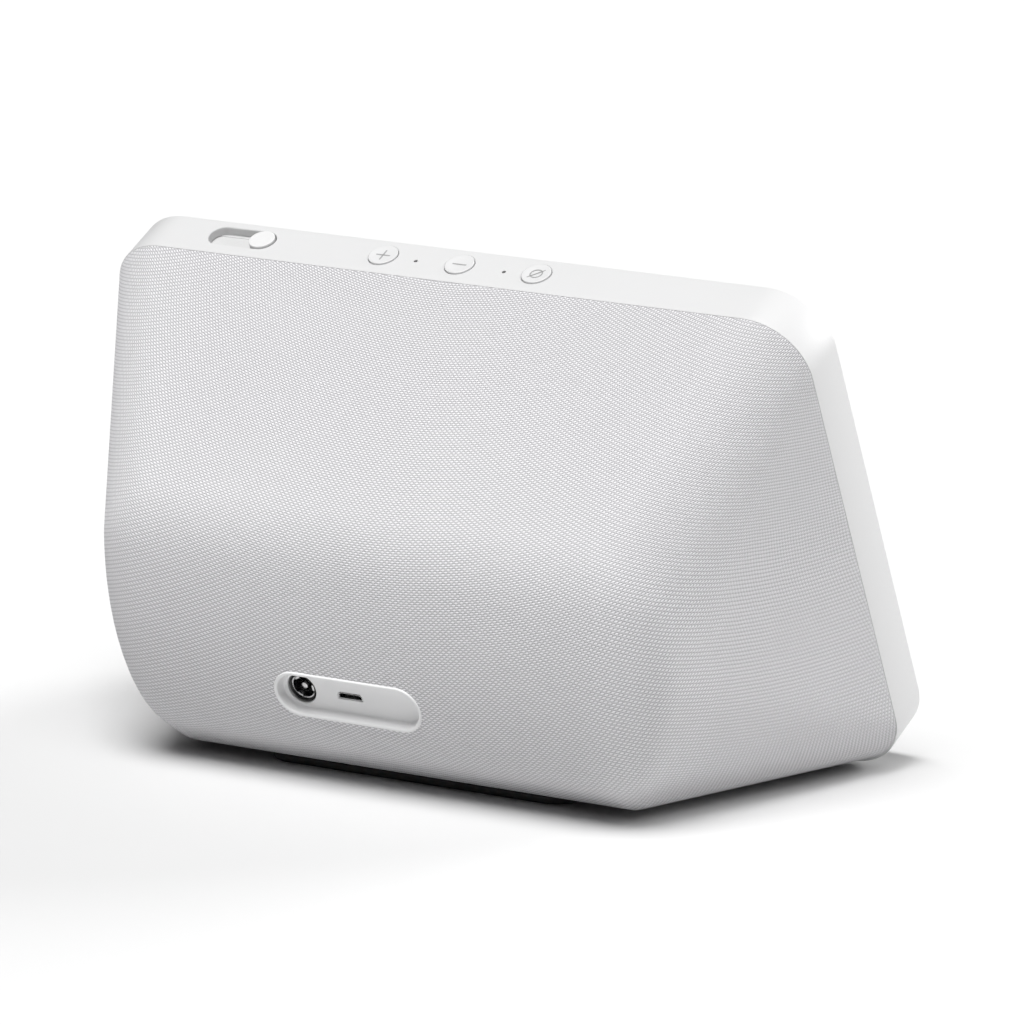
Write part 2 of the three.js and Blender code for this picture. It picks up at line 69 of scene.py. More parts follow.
# ------------------------------------------------------------------ driving dimensions

TILT = math.radians(25)          # the front leans back
CLEARANCE = 6.2                  # front lower edge above the table
FRONT_HEIGHT = 137.0             # up its slope
FRAME_DEPTH = 13.2
CORNER_R = 16.0
RIM = 1.6                        # frame seen around the glass
WALL = 2.2
LEDGE_Y = 2.35
LEDGE_BACK = 3.6
LEDGE_WIDTH = 3.7
FRAME_EDGE = 0.8
GAP = 0.3

BACK_OF_FRAME = FRAME_DEPTH + GAP
FABRIC_INSET = 0.06
FABRIC_LIFT = 0.8
FABRIC_THICK = 1.3
THREAD_DOWN = 0.585              # from one thread to the next, down the back
THREAD_TURN = 0.0033             # the angle from one thread to the next across it, in radians
FAN_DOWN, FAN_ACROSS = 95, 155   # how far above the top edge the two sets of threads fan out from
FAN_SIDE = 2.0                   # and how far to the side
EYE_IN_FRONT = 40                # girths are matched by lines from a point this far before a level

BELLY = dict(x=63.5, y=89.55, z=57.2, rx=20.7, ry=21.7, up=25.0, down=51.1)
LOWER_RIM = dict(x=63.5, y=85.0, z=9.15, rx=6.8, ry=6.8, up=6.8, down=6.8)

TOP_LINE = 6.3
KEY_X = {"plus": 21.7, "minus": -0.5, "mute": -22.6}
KEY_D = 7.6
KEY_HOLE_D = 7.9
KEY_PROUD = 0.3
MIC_X = (11.9, -13.6)
MIC_LINE = 6.9
MIC_D = 1.0
SLOT = (53.7, 73.1)
SLOT_WIDTH = 7.2
KNOB_X = SLOT[0] + SLOT_WIDTH / 2 + 0.2
KNOB_D = 6.8
KNOB_PROUD = 0.5
CARRIER_TOP = FRONT_HEIGHT - WALL - 0.15
CARRIER_HALF = 16.4              # closes the slot at both ends of the travel
SHUTTER = (60, 71)               # the blade that slides before the camera, along X
SHUTTER_ARM, SHUTTER_TOP = 127, 129.4

PORT_X, PORT_Y, PORT_Z = 5.95, 106.4, 24.7
PORT_TILT = math.radians(20)
PORT_WIDTH, PORT_HEIGHT, PORT_SUNK = 42.6, 12.8, 2.6
PORT_SKIRT = 1.2                 # wall of the recess behind its floor
JACK_X = 14.9
JACK_D = 8.2
USB_X, USB_Z = 0.8, -0.15

# ------------------------------------------------------------------ places

WIDTH = (CAD_BOX[1][0] - CAD_BOX[0][0]) / MM
FRONT_MOST = FRAME_EDGE * (math.cos(TILT) + math.sin(TILT) - 1)
FRONT_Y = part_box("front_frame")[0][1] / MM - FRONT_MOST

HEAD = Matrix.Translation((0, FRONT_Y, CLEARANCE)) @ Matrix.Rotation(-TILT, 4, "X")
PORTS = Matrix.Translation((PORT_X, PORT_Y + FRONT_Y, PORT_Z)) @ Matrix.Rotation(-PORT_TILT, 4, "X")
OBJECT = Matrix.Translation((0, FRONT_Y, 0))


# ------------------------------------------------------------------ mesh helpers

def make(name, bm, place, material, body=CASE, sharp=35):
    """Turns a bmesh in millimetres into a piece that rides on a body."""
    bmesh.ops.remove_doubles(bm, verts=bm.verts, dist=1e-4)
    bmesh.ops.recalc_face_normals(bm, faces=bm.faces)
    for f in bm.faces:
        f.smooth = True
    limit = math.radians(sharp)
    for e in bm.edges:
        if len(e.link_faces) == 2:
            e.smooth = e.calc_face_angle(0) < limit
    bm.transform(Matrix.Scale(MM, 4) @ place)
    mesh = bpy.data.meshes.new(name)
    bm.to_mesh(mesh)
    bm.free()
    obj = bpy.data.objects.new(name, mesh)
    bpy.context.scene.collection.objects.link(obj)
    mesh.materials.append(material)
    if body:
        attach(obj, body)
    return obj


def outline(width, height, radius, x=0.0, z=0.0, steps=16):
    """Points round a rounded rectangle, anticlockwise, the same number for any size."""
    r = max(min(radius, width / 2, height / 2), 0.05)
    corners = ((1, -1, -90), (1, 1, 0), (-1, 1, 90), (-1, -1, 180))
    points = []
    for sx, sz, start in corners:
        cx, cz = x + sx * (width / 2 - r), z + sz * (height / 2 - r)
        for k in range(steps + 1):
            a = math.radians(start + 90 * k / steps)
            points.append((cx + r * math.cos(a), cz + r * math.sin(a)))
    return points


def skin_loops(bm, loops, closed_profile=False, caps=(False, False)):
    """Joins loops of points, each with the same count, by quads."""
    rows = [[bm.verts.new(p) for p in loop] for loop in loops]
    count = len(rows[0])
    pairs = list(zip(rows, rows[1:]))
    if closed_profile:
        pairs.append((rows[-1], rows[0]))
    for a, b in pairs:
        for k in range(count):
            n = (k + 1) % count
            bm.faces.new((a[k], a[n], b[n], b[k]))
    if caps[0]:
        bm.faces.new(rows[0])
    if caps[1]:
        bm.faces.new(rows[-1])
    return rows


def ring(profile, shape, closed=True, caps=(False, False)):
    """Sweeps a profile of (inset, depth) points round shape(inset), which gives (x, z) points."""
    bm = bmesh.new()
    loops = [[(x, depth, z) for x, z in shape(inset)] for inset, depth in profile]
    skin_loops(bm, loops, closed, caps)
    return bm


def turned(profile, x, z, steps=48, axis="Y", y=0.0):
    """Turns (radius, along) points about an axis; a radius of 0 closes the end."""
    bm = bmesh.new()
    loops = []
    for r, t in profile:
        loop = []
        for k in range(steps):
            a = 2 * math.pi * k / steps
            c, s = max(r, 1e-3) * math.cos(a), max(r, 1e-3) * math.sin(a)
            loop.append((x + c, t, z + s) if axis == "Y" else (x + c, y + s, t))
        loops.append(loop)
    skin_loops(bm, loops, False, (profile[0][0] <= 0.01, profile[-1][0] <= 0.01))
    return bm


def box_bm(x0, x1, y0, y1, z0, z1, edge=0.0):
    """A block between six limits, with its edges rounded off."""
    bm = bmesh.new()
    bmesh.ops.create_cube(bm, size=1)
    size = Matrix.Diagonal((x1 - x0, y1 - y0, z1 - z0, 1))
    bm.transform(Matrix.Translation(((x0 + x1) / 2, (y0 + y1) / 2, (z0 + z1) / 2)) @ size)
    if edge:
        bmesh.ops.bevel(bm, geom=bm.edges[:], offset=edge, segments=2, affect="EDGES", profile=0.5)
    return bm


def merge(target, *others):
    """Adds other bmeshes to the first."""
    for other in others:
        mesh = bpy.data.meshes.new("part")
        other.to_mesh(mesh)
        other.free()
        target.from_mesh(mesh)
        bpy.data.meshes.remove(mesh)
    return target


def fillet(a, b, corner, steps=4):
    """Points on a quarter round from a to b about the corner between them."""
    a, b, corner = Vector(a), Vector(b), Vector(corner)
    centre = a + b - corner
    points = []
    for k in range(steps + 1):
        t = math.pi / 2 * k / steps
        points.append(tuple(centre + (a - centre) * math.cos(t) + (b - centre) * math.sin(t)))
    return points


def carve(obj, tools, sharp=30):
    """Cuts temporary bodies out of an object and applies the result."""
    for tool in tools:
        mod = obj.modifiers.new("cut", "BOOLEAN")
        mod.object = tool
        mod.operation = "DIFFERENCE"
        mod.solver = "EXACT"
    graph = bpy.context.evaluated_depsgraph_get()
    result = bpy.data.meshes.new_from_object(obj.evaluated_get(graph))
    obj.modifiers.clear()
    obj.data = result
    for tool in tools:
        bpy.data.objects.remove(tool)
    bm = bmesh.new()
    bm.from_mesh(result)
    for f in bm.faces:
        f.smooth = True
    for e in bm.edges:
        if len(e.link_faces) == 2:
            e.smooth = e.calc_face_angle(0) < math.radians(sharp)
    bm.to_mesh(result)
    bm.free()


def tool_object(bm, place):
    """A temporary body for carve."""
    bmesh.ops.recalc_face_normals(bm, faces=bm.faces)
    bm.transform(Matrix.Scale(MM, 4) @ place)
    mesh = bpy.data.meshes.new("tool")
    bm.to_mesh(mesh)
    bm.free()
    obj = bpy.data.objects.new("tool", mesh)
    bpy.context.scene.collection.objects.link(obj)
    return obj


# ------------------------------------------------------------------ node helpers

class Nodes:
    """A short way to write a material's nodes."""

    def __init__(self, name, **sockets):
        self.material = bpy.data.materials.new(name)
        self.material.use_nodes = True
        self.tree = self.material.node_tree
        self.shader = self.tree.nodes["Principled BSDF"]
        for key, value in sockets.items():
            self.shader.inputs[key.replace("_", " ")].default_value = value

    def add(self, kind, inputs=(), **settings):
        node = self.tree.nodes.new(kind)
        for key, value in settings.items():
            setattr(node, key, value)
        for key, value in dict(inputs).items():
            self.set(node.inputs[key], value)
        return node

    def set(self, socket, value):
        if isinstance(value, bpy.types.NodeSocket):
            self.tree.links.new(value, socket)
        else:
            socket.default_value = value

    def math(self, operation, a, b=None, c=None, clamp=False):
        node = self.add("ShaderNodeMath", operation=operation, use_clamp=clamp)
        for socket, value in zip(node.inputs, (a, b, c)):
            if value is not None:
                self.set(socket, value)
        return node.outputs[0]

    def coords(self):
        return self.add("ShaderNodeTexCoord").outputs["Object"]

    def noise(self, vector, scale, detail=2.0, rough=0.5):
        inputs = {"Vector": vector, "Scale": scale, "Detail": detail, "Roughness": rough}
        return self.add("ShaderNodeTexNoise", inputs).outputs["Fac"]

    def ramp(self, value, low, high, to_low, to_high):
        node = self.add("ShaderNodeMapRange", {"Value": value, "From Min": low, "From Max": high,
                                               "To Min": to_low, "To Max": to_high})
        return node.outputs["Result"]

    def mix(self, factor, a, b):
        node = self.add("ShaderNodeMix", data_type="RGBA")
        self.set(node.inputs["Factor"], factor)
        self.set(node.inputs[6], a)
        self.set(node.inputs[7], b)
        return node.outputs[2]

    def bump(self, height, strength, distance):
        inputs = {"Height": height, "Strength": strength, "Distance": distance}
        return self.add("ShaderNodeBump", inputs).outputs["Normal"]

    def into(self, socket, value):
        self.set(self.shader.inputs[socket], value)


def grey(level, tint=(1.0, 1.0, 1.0)):
    return (level * tint[0], level * tint[1], level * tint[2], 1.0)


# ------------------------------------------------------------------ materials

def moulded(name, colour, rough, grain=0.35, grain_mm=0.25, mottle=0.03, **sockets):
    """Moulded plastic: spark texture from the tool, slight mottling, uneven gloss."""
    n = Nodes(name, **sockets)
    at = n.coords()
    fine = n.noise(at, 1000 / grain_mm / 2, 2.0)
    broad = n.noise(at, 28, 3.0)
    darker = tuple(c * (1 - mottle) for c in colour[:3]) + (1.0,)
    lighter = tuple(min(c * (1 + mottle), 1.0) for c in colour[:3]) + (1.0,)
    n.into("Base Color", n.mix(n.ramp(broad, 0.3, 0.7, 0, 1), darker, lighter))
    n.into("Roughness", n.ramp(fine, 0.3, 0.7, rough - 0.05, rough + 0.07))
    n.into("Normal", n.bump(fine, grain, 0.00004))
    return n.material


def woven(name, light, painted_shade_warp, painted_gap_shade):
    """Plain weave, weft over warp: crowned yarns, painted shade in the gaps between them, the warp painted
    darker as painted shade, fibres and uneven dye.
    """
    n = Nodes(name, Specular_IOR_Level=0.2, Sheen_Weight=0.2, Sheen_Roughness=0.5)
    uv = n.add("ShaderNodeSeparateXYZ", {"Vector": n.add("ShaderNodeUVMap", uv_map="weave").outputs["UV"]})
    wobble = n.math("MULTIPLY", n.noise(n.coords(), 300, 2.0), 0.3)
    u = n.math("ADD", uv.outputs[0], wobble)
    v = n.math("ADD", uv.outputs[1], wobble)
    heights = {}
    for key, across, along, shift in (("warp", u, v, 0.0), ("weft", v, u, 1.0)):
        place = n.math("SUBTRACT", n.math("FRACT", across), 0.5)
        aside = n.math("ABSOLUTE", n.math("MULTIPLY", place, 2.1))
        crown = n.math("SUBTRACT", 1.0, n.math("POWER", aside, 2.5), clamp=True)
        turn = n.math("ADD", n.math("ADD", along, n.math("FLOOR", across)), shift)
        over = n.math("MULTIPLY_ADD", n.math("SINE", n.math("MULTIPLY", turn, math.pi)), 0.5, 0.5)
        heights[key] = n.math("MULTIPLY", crown, n.math("MULTIPLY_ADD", over, 0.8, 0.2))
    height = n.math("MAXIMUM", heights["warp"], heights["weft"])
    # painted shade: where the warp lies on top the colour is painted darker than the weft, standing in for
    # the shade on floats that lie across the light
    is_weft = n.ramp(n.math("SUBTRACT", heights["weft"], heights["warp"]), -0.15, 0.15, 0, 1)
    yarns = n.add("ShaderNodeMapping", {"Vector": n.add("ShaderNodeUVMap", uv_map="weave").outputs["UV"],
                                        "Scale": (0.12, 0.9, 1.0)}).outputs[0]
    slub = n.ramp(n.noise(yarns, 1.0, 3.0, 0.65), 0.3, 0.7, -0.12, 0.12)
    fibre = n.noise(n.coords(), 6500, 2.0, 0.7)
    cloudy = n.ramp(n.noise(n.coords(), 24, 3.0), 0.3, 0.7, -0.05, 0.05)
    tone = n.math("ADD", n.math("ADD", is_weft, slub), cloudy)
    yarn = n.mix(n.math("ADD", tone, n.math("MULTIPLY_ADD", fibre, 0.3, -0.15), clamp=True), painted_shade_warp, light)
    # painted shade: the colour darkens from the yarn colour on the crowns to the gap colour where the yarns
    # dip between each other
    n.into("Base Color", n.mix(n.ramp(height, 0.15, 0.6, 0, 1), painted_gap_shade, yarn))
    n.into("Roughness", n.ramp(fibre, 0.2, 0.8, 0.82, 0.98))
    n.into("Normal", n.bump(n.math("MULTIPLY_ADD", fibre, 0.2, height), 0.9, 0.0002))
    return n.material


def sheet_metal(name, level, rough):
    """Rolled sheet: fine lines along X and faint stains."""
    n = Nodes(name, Metallic=1.0)
    at = n.coords()
    drawn_out = n.add("ShaderNodeMapping", {"Vector": at, "Scale": (60, 4000, 4000)}).outputs[0]
    lines = n.noise(drawn_out, 1.0, 2.0)
    stain = n.noise(at, 60, 3.0)
    n.into("Base Color", n.mix(stain, grey(level * 0.88), grey(level)))
    n.into("Roughness", n.ramp(lines, 0.3, 0.7, rough - 0.06, rough + 0.08))
    n.into("Normal", n.bump(lines, 0.15, 0.00002))
    return n.material


def circuit_board(name):
    """Solder mask over copper tracks."""
    n = Nodes(name, Specular_IOR_Level=0.5)
    at = n.coords()
    cells = n.add("ShaderNodeTexVoronoi", {"Vector": at, "Scale": 260.0}, distance="CHEBYCHEV", feature="F1")
    track = n.math("LESS_THAN", cells.outputs["Distance"], 0.32)
    n.into("Base Color", n.mix(track, (0.012, 0.075, 0.03, 1), (0.03, 0.13, 0.055, 1)))
    n.into("Roughness", n.ramp(n.noise(at, 900), 0.3, 0.7, 0.28, 0.45))
    n.into("Normal", n.bump(track, 0.3, 0.00004))
    return n.material


def glass_black(name):
    """Cover glass over a black border: a clean gloss with the faintest smears."""
    n = Nodes(name, Specular_IOR_Level=0.5, Coat_Weight=0.4, Coat_Roughness=0.03)
    at = n.coords()
    smear = n.noise(n.add("ShaderNodeMapping", {"Vector": at, "Scale": (18, 40, 26)}).outputs[0], 1.0, 4.0)
    n.into("Base Color", n.mix(n.ramp(smear, 0.4, 0.8, 0, 1), grey(0.006), grey(0.009, (1, 1.02, 1.08))))
    n.into("Roughness", n.ramp(smear, 0.45, 0.75, 0.05, 0.11))
    return n.material


MAT = {
    # fabric colours: weft, warp painted darker as painted shade, and painted shade for the gaps between yarns
    "fabric": woven("light_weave", (0.8, 0.795, 0.81, 1), (0.54, 0.535, 0.55, 1), (0.3, 0.295, 0.31, 1)),
    "white": moulded("white_housing", grey(0.63, (1, 1, 1.003)), 0.42, mottle=0.008),
    "key": moulded("white_keys", grey(0.65, (1, 1, 1.003)), 0.38, mottle=0.008),
    "knob": moulded("white_knob", grey(0.7), 0.36, mottle=0.008),
    # the slot's carrier: the housing's white plastic painted a shade darker, as painted shade for the slot it
    # sits in
    "carrier": moulded("white_carrier_painted_shade", grey(0.6), 0.4, mottle=0.008),
    "shell": moulded("grey_shell", grey(0.72, (1, 0.99, 1.02)), 0.6),
    "charcoal": moulded("charcoal_moulding", grey(0.03, (1, 1.01, 1.1)), 0.55),
    "black": moulded("black_moulding", grey(0.012), 0.35),
    "foot": moulded("foot_rubber", grey(0.045), 0.72, grain=0.6, grain_mm=0.5, mottle=0.1),
    "rubber": moulded("soft_rubber", grey(0.02), 0.8, grain=0.5, grain_mm=0.4, mottle=0.1),
    "port": moulded("port_gloss", grey(0.78, (1, 1, 1.005)), 0.36, grain=0.12, mottle=0.01, Coat_Weight=0.1),
    "print": moulded("key_print", grey(0.33), 0.5),
    "steel": sheet_metal("plain_steel", 0.55, 0.32),
    "aluminium": sheet_metal("plain_aluminium", 0.7, 0.35),
    "plated": sheet_metal("nickel_plate", 0.62, 0.25),
    "basket": moulded("black_steel", grey(0.03), 0.4, Metallic=0.3),
    "board": circuit_board("solder_mask"),
    "flex": moulded("flex_film", (0.45, 0.22, 0.05, 1), 0.35),
    "glass": glass_black("cover_glass"),
    "lens": glass_black("dark_lens"),
    "cone": moulded("coated_paper", grey(0.03), 0.7, grain=0.7, grain_mm=0.7, mottle=0.15),
}

SLOT_MATERIAL = {
    "shell_plastic": "shell", "white_plastic": "white", "black_glass": "glass", "black_foam": "rubber",
    "panel_black": "black", "steel": "steel", "basket_steel": "basket", "aluminium": "aluminium",
    "flex_amber": "flex", "dark_lens": "lens", "charcoal": "charcoal", "board_green": "board",
    "black_rubber": "rubber", "port_gloss": "port", "black_plastic": "black", "pin_metal": "plated",
    "cone_paper": "cone", "foot_rubber": "foot", "fabric": "fabric",
}


def finish_cad_nodes():
    """Gives every CAD node the material of its slot."""
    for part in frame["record"]["subparts"]:
        obj = frame["nodes"][part["node"]]
        obj.data.materials.clear()
        obj.data.materials.append(MAT[SLOT_MATERIAL[part["material_slot"]]])


# ------------------------------------------------------------------ fabric back

def swollen(spec, inset):
    """Points on the two mirrored swollen corners that a spec describes, shrunk by an inset."""
    points = []
    for rise in range(-90, 91, 3):
        tall = (spec["up"] if rise > 0 else spec["down"]) - inset
        c, s = math.cos(math.radians(rise)), math.sin(math.radians(rise))
        for turn in range(-33, 115, 3):
            a = math.radians(turn)
            px = spec["x"] + (spec["rx"] - inset) * c * math.cos(a)
            py = spec["y"] + (spec["ry"] - inset) * c * math.sin(a)
            points += [(px, py, spec["z"] + tall * s), (-px, py, spec["z"] + tall * s)]
    return points


def fabric_outline(inset):
    side, low = FABRIC_INSET + inset, FABRIC_LIFT + inset
    height = FRONT_HEIGHT - side - low
    return outline(WIDTH - 2 * side, height, CORNER_R - side, 0, low + height / 2, 30)


def form_edges(inset, place):
    """Edges of the back's form: the outline behind the frame stretched over the swollen corners."""
    head = OBJECT.inverted() @ HEAD
    back = [head @ Vector((x, BACK_OF_FRAME, z)) for x, z in fabric_outline(inset)]
    bm = bmesh.new()
    for p in back + swollen(BELLY, inset) + swollen(LOWER_RIM, inset):
        bm.verts.new(p)
    bmesh.ops.convex_hull(bm, input=bm.verts)
    bm.transform(place)
    edges = [(tuple(e.verts[0].co), tuple(e.verts[1].co)) for e in bm.edges if e.link_faces]
    bm.free()
    return edges


def section(edges, axis, at):
    """Where a plane across one axis cuts a convex form: points of the two other axes, in turn."""
    one, two = [k for k in range(3) if k != axis]
    cut = []
    for a, b in edges:
        if (a[axis] - at) * (b[axis] - at) < 0:
            t = (at - a[axis]) / (b[axis] - a[axis])
            cut.append((a[one] + (b[one] - a[one]) * t, a[two] + (b[two] - a[two]) * t))
    cx = (min(p[0] for p in cut) + max(p[0] for p in cut)) / 2
    cy = (min(p[1] for p in cut) + max(p[1] for p in cut)) / 2
    return sorted(cut, key=lambda p: math.atan2(p[0] - cx, p[1] - cy))


def even_loop(points, count):
    """Equal steps round a closed loop, starting at its highest point above x = 0."""
    lengths = [0.0]
    for a, b in zip(points, points[1:] + points[:1]):
        lengths.append(lengths[-1] + math.dist(a, b))
    total = lengths[-1]
    crossings = [k for k in range(len(points)) if points[k - 1][0] < 0 <= points[k][0]]
    start = next(k for k in crossings if points[k][1] > points[0][1])
    a, b = points[start - 1], points[start]
    offset = lengths[start] - math.dist(a, b) * b[0] / (b[0] - a[0] or 1.0)
    loop, k = [], 0
    for i in sorted(range(count), key=lambda i: (offset + total * i / count) % total):
        at = (offset + total * i / count) % total
        while k < len(points) - 1 and lengths[k + 1] < at:
            k += 1
        p, q = points[k], points[(k + 1) % len(points)]
        t = (at - lengths[k]) / (lengths[k + 1] - lengths[k] or 1.0)
        loop.append((i, (p[0] + (q[0] - p[0]) * t, p[1] + (q[1] - p[1]) * t)))
    return [p for i, p in sorted(loop)]


def inward(loop, amount):
    """A loop of (x, z) points moved inwards, square to itself."""
    moved = []
    for k, (x, z) in enumerate(loop):
        (ax, az), (bx, bz) = loop[k - 2], loop[(k + 2) % len(loop)]
        dx, dz = bx - ax, bz - az
        n = math.hypot(dx, dz) or 1.0
        moved.append((x + dz / n * -amount, z + dx / n * amount))
    if math.hypot(*moved[0]) > math.hypot(*loop[0]):
        return inward(loop, -amount)
    return moved


def fabric_bag():
    """The sleeve as a closed thick skin: rings parallel to the frame, from its hem to the back."""
    count, hem = 480, 0.25
    local = HEAD.inverted() @ OBJECT
    outer, inner = form_edges(0, local), form_edges(FABRIC_THICK, local)

    def rings(edges, first, step):
        deepest = max(max(a[1], b[1]) for a, b in edges)
        depths = [first]
        while depths[-1] + step < deepest - 2:
            depths.append(depths[-1] + step)
        depths += [deepest - d for d in (1.6, 1.0, 0.5, 0.15, 0.01) if deepest - d > depths[-1] + 0.1]
        return [[(x, d, z) for x, z in even_loop(section(edges, 1, d), count)] for d in depths]

    corner = even_loop(section(outer, 1, BACK_OF_FRAME + 0.002), count)
    skin = rings(outer, BACK_OF_FRAME + hem, 1.3)
    lining = rings(inner, BACK_OF_FRAME + 1.0, 4.0)
    lip = inward(corner, hem)
    turn_in = []
    for t in (0.8, 0.6, 0.4, 0.2, 0.0):
        ring_points = []
        for (cx, cz), (lx, lz), (sx, sy, sz) in zip(corner, lip, skin[0]):
            a, b, c = (1 - t) ** 2, 2 * t * (1 - t), t * t
            depth = (a + b) * BACK_OF_FRAME + c * sy
            ring_points.append((a * lx + b * cx + c * sx, depth, a * lz + b * cz + c * sz))
        turn_in.append(ring_points)
    inside = [(x, BACK_OF_FRAME, z) for x, z in inward(corner, FABRIC_THICK)]
    bm = bmesh.new()
    rows = skin_loops(bm, skin[::-1] + turn_in + [inside] + lining)
    half = count // 2
    for row in (rows[0], rows[-1]):
        for k in range(half // 2 + 1, half // 2 + half):
            a, b = row[k], row[(k + 1) % count]
            c, d = row[(half - k - 1) % count], row[(half - k) % count]
            corners = [v for i, v in enumerate((a, b, c, d)) if v not in (a, b, c, d)[:i]]
            if len(corners) > 2:
                bm.faces.new(corners)
    return bm


def weave_map():
    """Thread numbers on the form: along each level from the middle, and down the middle line."""
    edges = form_edges(0, Matrix.Identity(4))
    low = min(min(a[2], b[2]) for a, b in edges)
    high = max(max(a[2], b[2]) for a, b in edges)
    levels, z = [], high - 0.05
    while z > low + 0.4:
        levels.append(z)
        z -= 1.0 if z > 14 else 0.5
    table, down, before = [], 0.0, None
    for z in levels:
        points = section(edges, 2, z)
        rear, front = max(p[1] for p in points), min(p[1] for p in points)
        eye, side = front - EYE_IN_FRONT, max(p[0] for p in points) - 0.05
        half = [(x, y) for x, y in points if x > 0 and (y > front + 0.05 or x > side)]
        run = [(0.0, 0.0, 0.0, rear - eye)]
        for angle, x, y in sorted((math.atan2(x, y - eye), x, y) for x, y in half):
            step = math.hypot(x - run[-1][2], y - eye - run[-1][3])
            run.append((angle, run[-1][1] + step, x, y - eye))
        if before:
            down += math.hypot(rear - before[0], z - before[1])
        before = (rear, z)
        table.append((z, down, eye, run, [r[0] for r in run]))
    end_down, end_back = down, before[0]

    def along(row, angle):
        run = row[3]
        k = min(max(bisect.bisect(row[4], angle), 1), len(run) - 1)
        (_, s0, x0, y0), (_, s1, x1, y1) = run[k - 1], run[k]
        c, s = math.cos(angle), math.sin(angle)
        from_a, from_b = x0 * c - y0 * s, x1 * c - y1 * s
        t = from_a / (from_a - from_b) if abs(from_a - from_b) > 1e-9 else 0.0
        return s0 + (s1 - s0) * min(max(t, 0.0), 1.0)

    keys = [-row[0] for row in table]

    def at(x, y, z):
        if z < table[-1][0]:
            girth, drop = x, end_down + end_back - y
        else:
            k = min(max(bisect.bisect(keys, -z), 1), len(table) - 1)
            above, below = table[k - 1], table[k]
            t = (above[0] - z) / (above[0] - below[0])
            angle = math.atan2(abs(x), y - (above[2] + (below[2] - above[2]) * t))
            girth = math.copysign(along(above, angle) * (1 - t) + along(below, angle) * t, x)
            drop = above[1] + (below[1] - above[1]) * t
        girth -= FAN_SIDE
        across = math.atan2(girth, FAN_ACROSS + drop) / THREAD_TURN
        return across, math.hypot(girth, FAN_DOWN + drop) / THREAD_DOWN

    return at


def build_fabric():
    obj = make("fabric_back", fabric_bag(), HEAD, MAT["fabric"], sharp=60)
    hole = ring([(0, -16), (0, 6)], lambda i: port_shape(0.05), False, (True, True))
    low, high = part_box("rubber_foot")
    width, depth = (high[0] - low[0]) / MM + 2 * GAP, (high[1] - low[1]) / MM + 2 * GAP
    base = bmesh.new()
    flat = outline(width, depth, 8.3, 0, (high[1] + low[1]) / 2 / MM, 12)
    skin_loops(base, [[(x, y, z) for x, y in flat] for z in (-2, 10)], False, (True, True))
    carve(obj, [tool_object(hole, PORTS), tool_object(base, Matrix.Identity(4))], sharp=60)

    thread_at = weave_map()
    mesh = obj.data
    layer = mesh.uv_layers.get("weave") or mesh.uv_layers.new(name="weave")
    place = OBJECT.inverted() @ Matrix.Scale(1 / MM, 4)
    threads = [thread_at(*(place @ v.co)) for v in mesh.vertices]
    for loop in mesh.loops:
        layer.data[loop.index].uv = threads[loop.vertex_index]
    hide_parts("fabric_sleeve")


# ------------------------------------------------------------------ front frame

def frame_shape(inset):
    return outline(WIDTH - 2 * inset, FRONT_HEIGHT - 2 * inset, CORNER_R - inset, 0, FRONT_HEIGHT / 2, 20)


def build_frame():
    e, back = 0.7, FRAME_DEPTH + 0.3
    profile = fillet((0.1, back), (0, back - 0.1), (0, back))
    profile += fillet((0, e), (e, 0), (0, 0))
    profile += fillet((RIM - 0.3, 0), (RIM, 0.3), (RIM, 0), 3)
    profile += [(RIM, LEDGE_Y), (LEDGE_WIDTH, LEDGE_Y), (LEDGE_WIDTH, LEDGE_BACK), (WALL, LEDGE_BACK)]
    profile += [(WALL, back)]
    obj = make("front_housing", ring(profile, frame_shape), HEAD, MAT["white"])
    tools = []
    top = FRONT_HEIGHT
    holes = [(x, KEY_HOLE_D / 2, 0.25, 0.22, 0.03, TOP_LINE, 72) for x in KEY_X.values()]
    holes += [(x, MIC_D / 2, 0.12, 0.12, 0.01, MIC_LINE, 32) for x in MIC_X]
    for x, r, flare, below, above, line, steps in holes:
        bore = [(0, top - 6), (r, top - 6), (r, top - below)]
        mouth = [(r + flare, top + above), (r + flare, top + 2), (0, top + 2)]
        tools.append(turned(bore + mouth, x, 0, steps, "Z", line))
    middle, half = (SLOT[0] + SLOT[1]) / 2, (SLOT[1] - SLOT[0]) / 2
    slot = bmesh.new()
    loops = []
    for grow, z in ((0, top - WALL - 0.1), (0, top - 0.2), (0.18, top + 0.01), (0.18, top + 2)):
        flat = outline(2 * (half + grow), SLOT_WIDTH + 2 * grow, 20, middle, TOP_LINE, 16)
        loops.append([(x, y, z) for x, y in flat])
    skin_loops(slot, loops, False, (True, True))
    tools.append(slot)
    carve(obj, [tool_object(t, HEAD) for t in tools])
    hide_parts("front_frame")


def build_glass():
    inset = RIM + 0.25
    profile = [(inset, 1.15), (inset, 0.45)]
    profile += fillet((inset, 0.45), (inset + 0.3, 0.15), (inset, 0.15), 3)[1:]
    bm = ring(profile, frame_shape, False, (True, True))
    obj = make("display_glass", bm, HEAD, MAT["glass"])
    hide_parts("front_glass")


# ------------------------------------------------------------------ top controls

def build_keys():
    top = FRONT_HEIGHT + KEY_PROUD
    ears = FRONT_HEIGHT - WALL - 0.4
    for name, x in KEY_X.items():
        r = KEY_D / 2
        dish = [(0, top - 0.22), (r * 0.4, top - 0.19), (r * 0.7, top - 0.1), (r - 0.45, top - 0.01)]
        edge = fillet((r - 0.2, top), (r, top - 0.2), (r, top), 4)
        profile = dish + edge + [(r, ears - 0.6), (1.5, ears - 0.6), (1.5, 130.8), (0, 130.8)]
        cap = turned(profile, x, 0, 72, "Z", TOP_LINE)
        wings = box_bm(x - 5.2, x + 5.2, TOP_LINE - 2.2, TOP_LINE + 2.2, ears - 1.2, ears, 0.15)
        body = f"{name}_key"
        obj = make(f"key_cap_{name}", merge(cap, wings), HEAD, MAT["key"], body)
        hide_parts(f"button_{name}")
        symbol(name, x, top, body)


